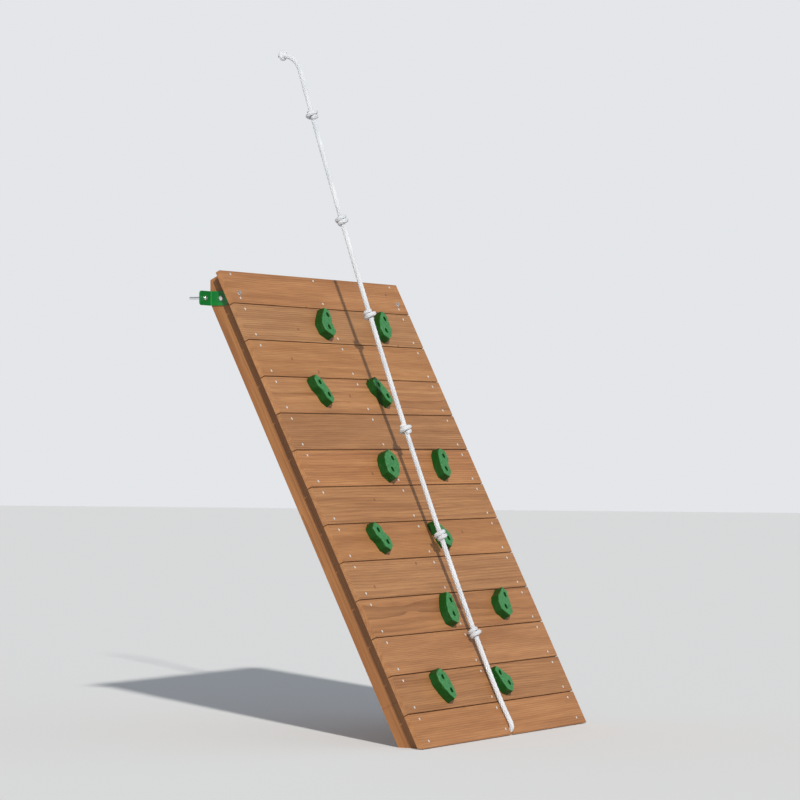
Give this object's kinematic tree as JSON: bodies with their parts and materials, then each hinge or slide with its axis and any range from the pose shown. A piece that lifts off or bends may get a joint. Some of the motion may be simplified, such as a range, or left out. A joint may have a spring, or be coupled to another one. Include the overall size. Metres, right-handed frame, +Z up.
{
  "type": "rock climbing wall",
  "caption": "Leaning climbing wall of timber boards on rails, with bolted plastic holds, steel angles for a play deck and a knotted climbing rope.",
  "frame": {"origin": "on the ground, in the middle of the wall's plan: half way across its width, and half way from the boards' lowest front edge to the tips of the deck screws", "axes": "+X along the boards to the climber's right, +Y from the climber's side towards the tower, +Z up"},
  "size_m": [1.383, 0.944, 2.4915],
  "materials": {
    "board_wood": "satin stained planed softwood",
    "rail_wood": "satin stained planed softwood",
    "hold_plastic": "slightly textured moulded plastic",
    "bracket_paint": "glossy green powder coat",
    "bright_steel": "bright zinc",
    "zinc_steel": "zinc plated",
    "black_steel": "blackened",
    "rope_fibre": "white braided fibre"
  },
  "bodies": {
    "wall": {"board_01": "board_wood", "board_02": "board_wood", "board_03": "board_wood", "board_04": "board_wood", "board_05": "board_wood", "board_06": "board_wood", "board_07": "board_wood", "board_08": "board_wood", "board_09": "board_wood", "board_10": "board_wood", "board_11": "board_wood", "board_12": "board_wood", "board_13": "board_wood", "centre_rail": "rail_wood", "centre_rail_screws": "zinc_steel", "hold_01": "hold_plastic", "hold_02": "hold_plastic", "hold_03": "hold_plastic", "hold_04": "hold_plastic", "hold_05": "hold_plastic", "hold_06": "hold_plastic", "hold_07": "hold_plastic", "hold_08": "hold_plastic", "hold_09": "hold_plastic", "hold_10": "hold_plastic", "hold_11": "hold_plastic", "hold_12": "hold_plastic", "hold_bolts": "black_steel", "hold_washers": "zinc_steel", "left_pivot_bolt": "bright_steel", "left_rail": "rail_wood", "left_rail_screws": "zinc_steel", "pivot_nuts": "zinc_steel", "pivot_washers": "zinc_steel", "right_pivot_bolt": "bright_steel", "right_rail": "rail_wood", "right_rail_screws": "zinc_steel", "rope": "rope_fibre", "rope_foot_stopper": "rope_fibre", "rope_knots": "rope_fibre", "rope_top_stopper": "rope_fibre", "tee_nuts": "zinc_steel", "top_board_bolts": "bright_steel"},
    "left_bracket": {"left_bracket": "bracket_paint", "left_deck_screw": "bright_steel"},
    "right_bracket": {"right_bracket": "bracket_paint", "right_deck_screw": "bright_steel"}
  },
  "joints": [
    {"name": "left_bracket_swivel", "type": "hinge", "parent": "wall", "child": "left_bracket", "pos_m": [-0.6177, 0.35747, 1.55], "axis": [1, 0, 0], "range_deg": [-20, 20]},
    {"name": "right_bracket_swivel", "type": "hinge", "parent": "wall", "child": "right_bracket", "pos_m": [0.6177, 0.35747, 1.55], "axis": [1, 0, 0], "range_deg": [-20, 20]}
  ]
}
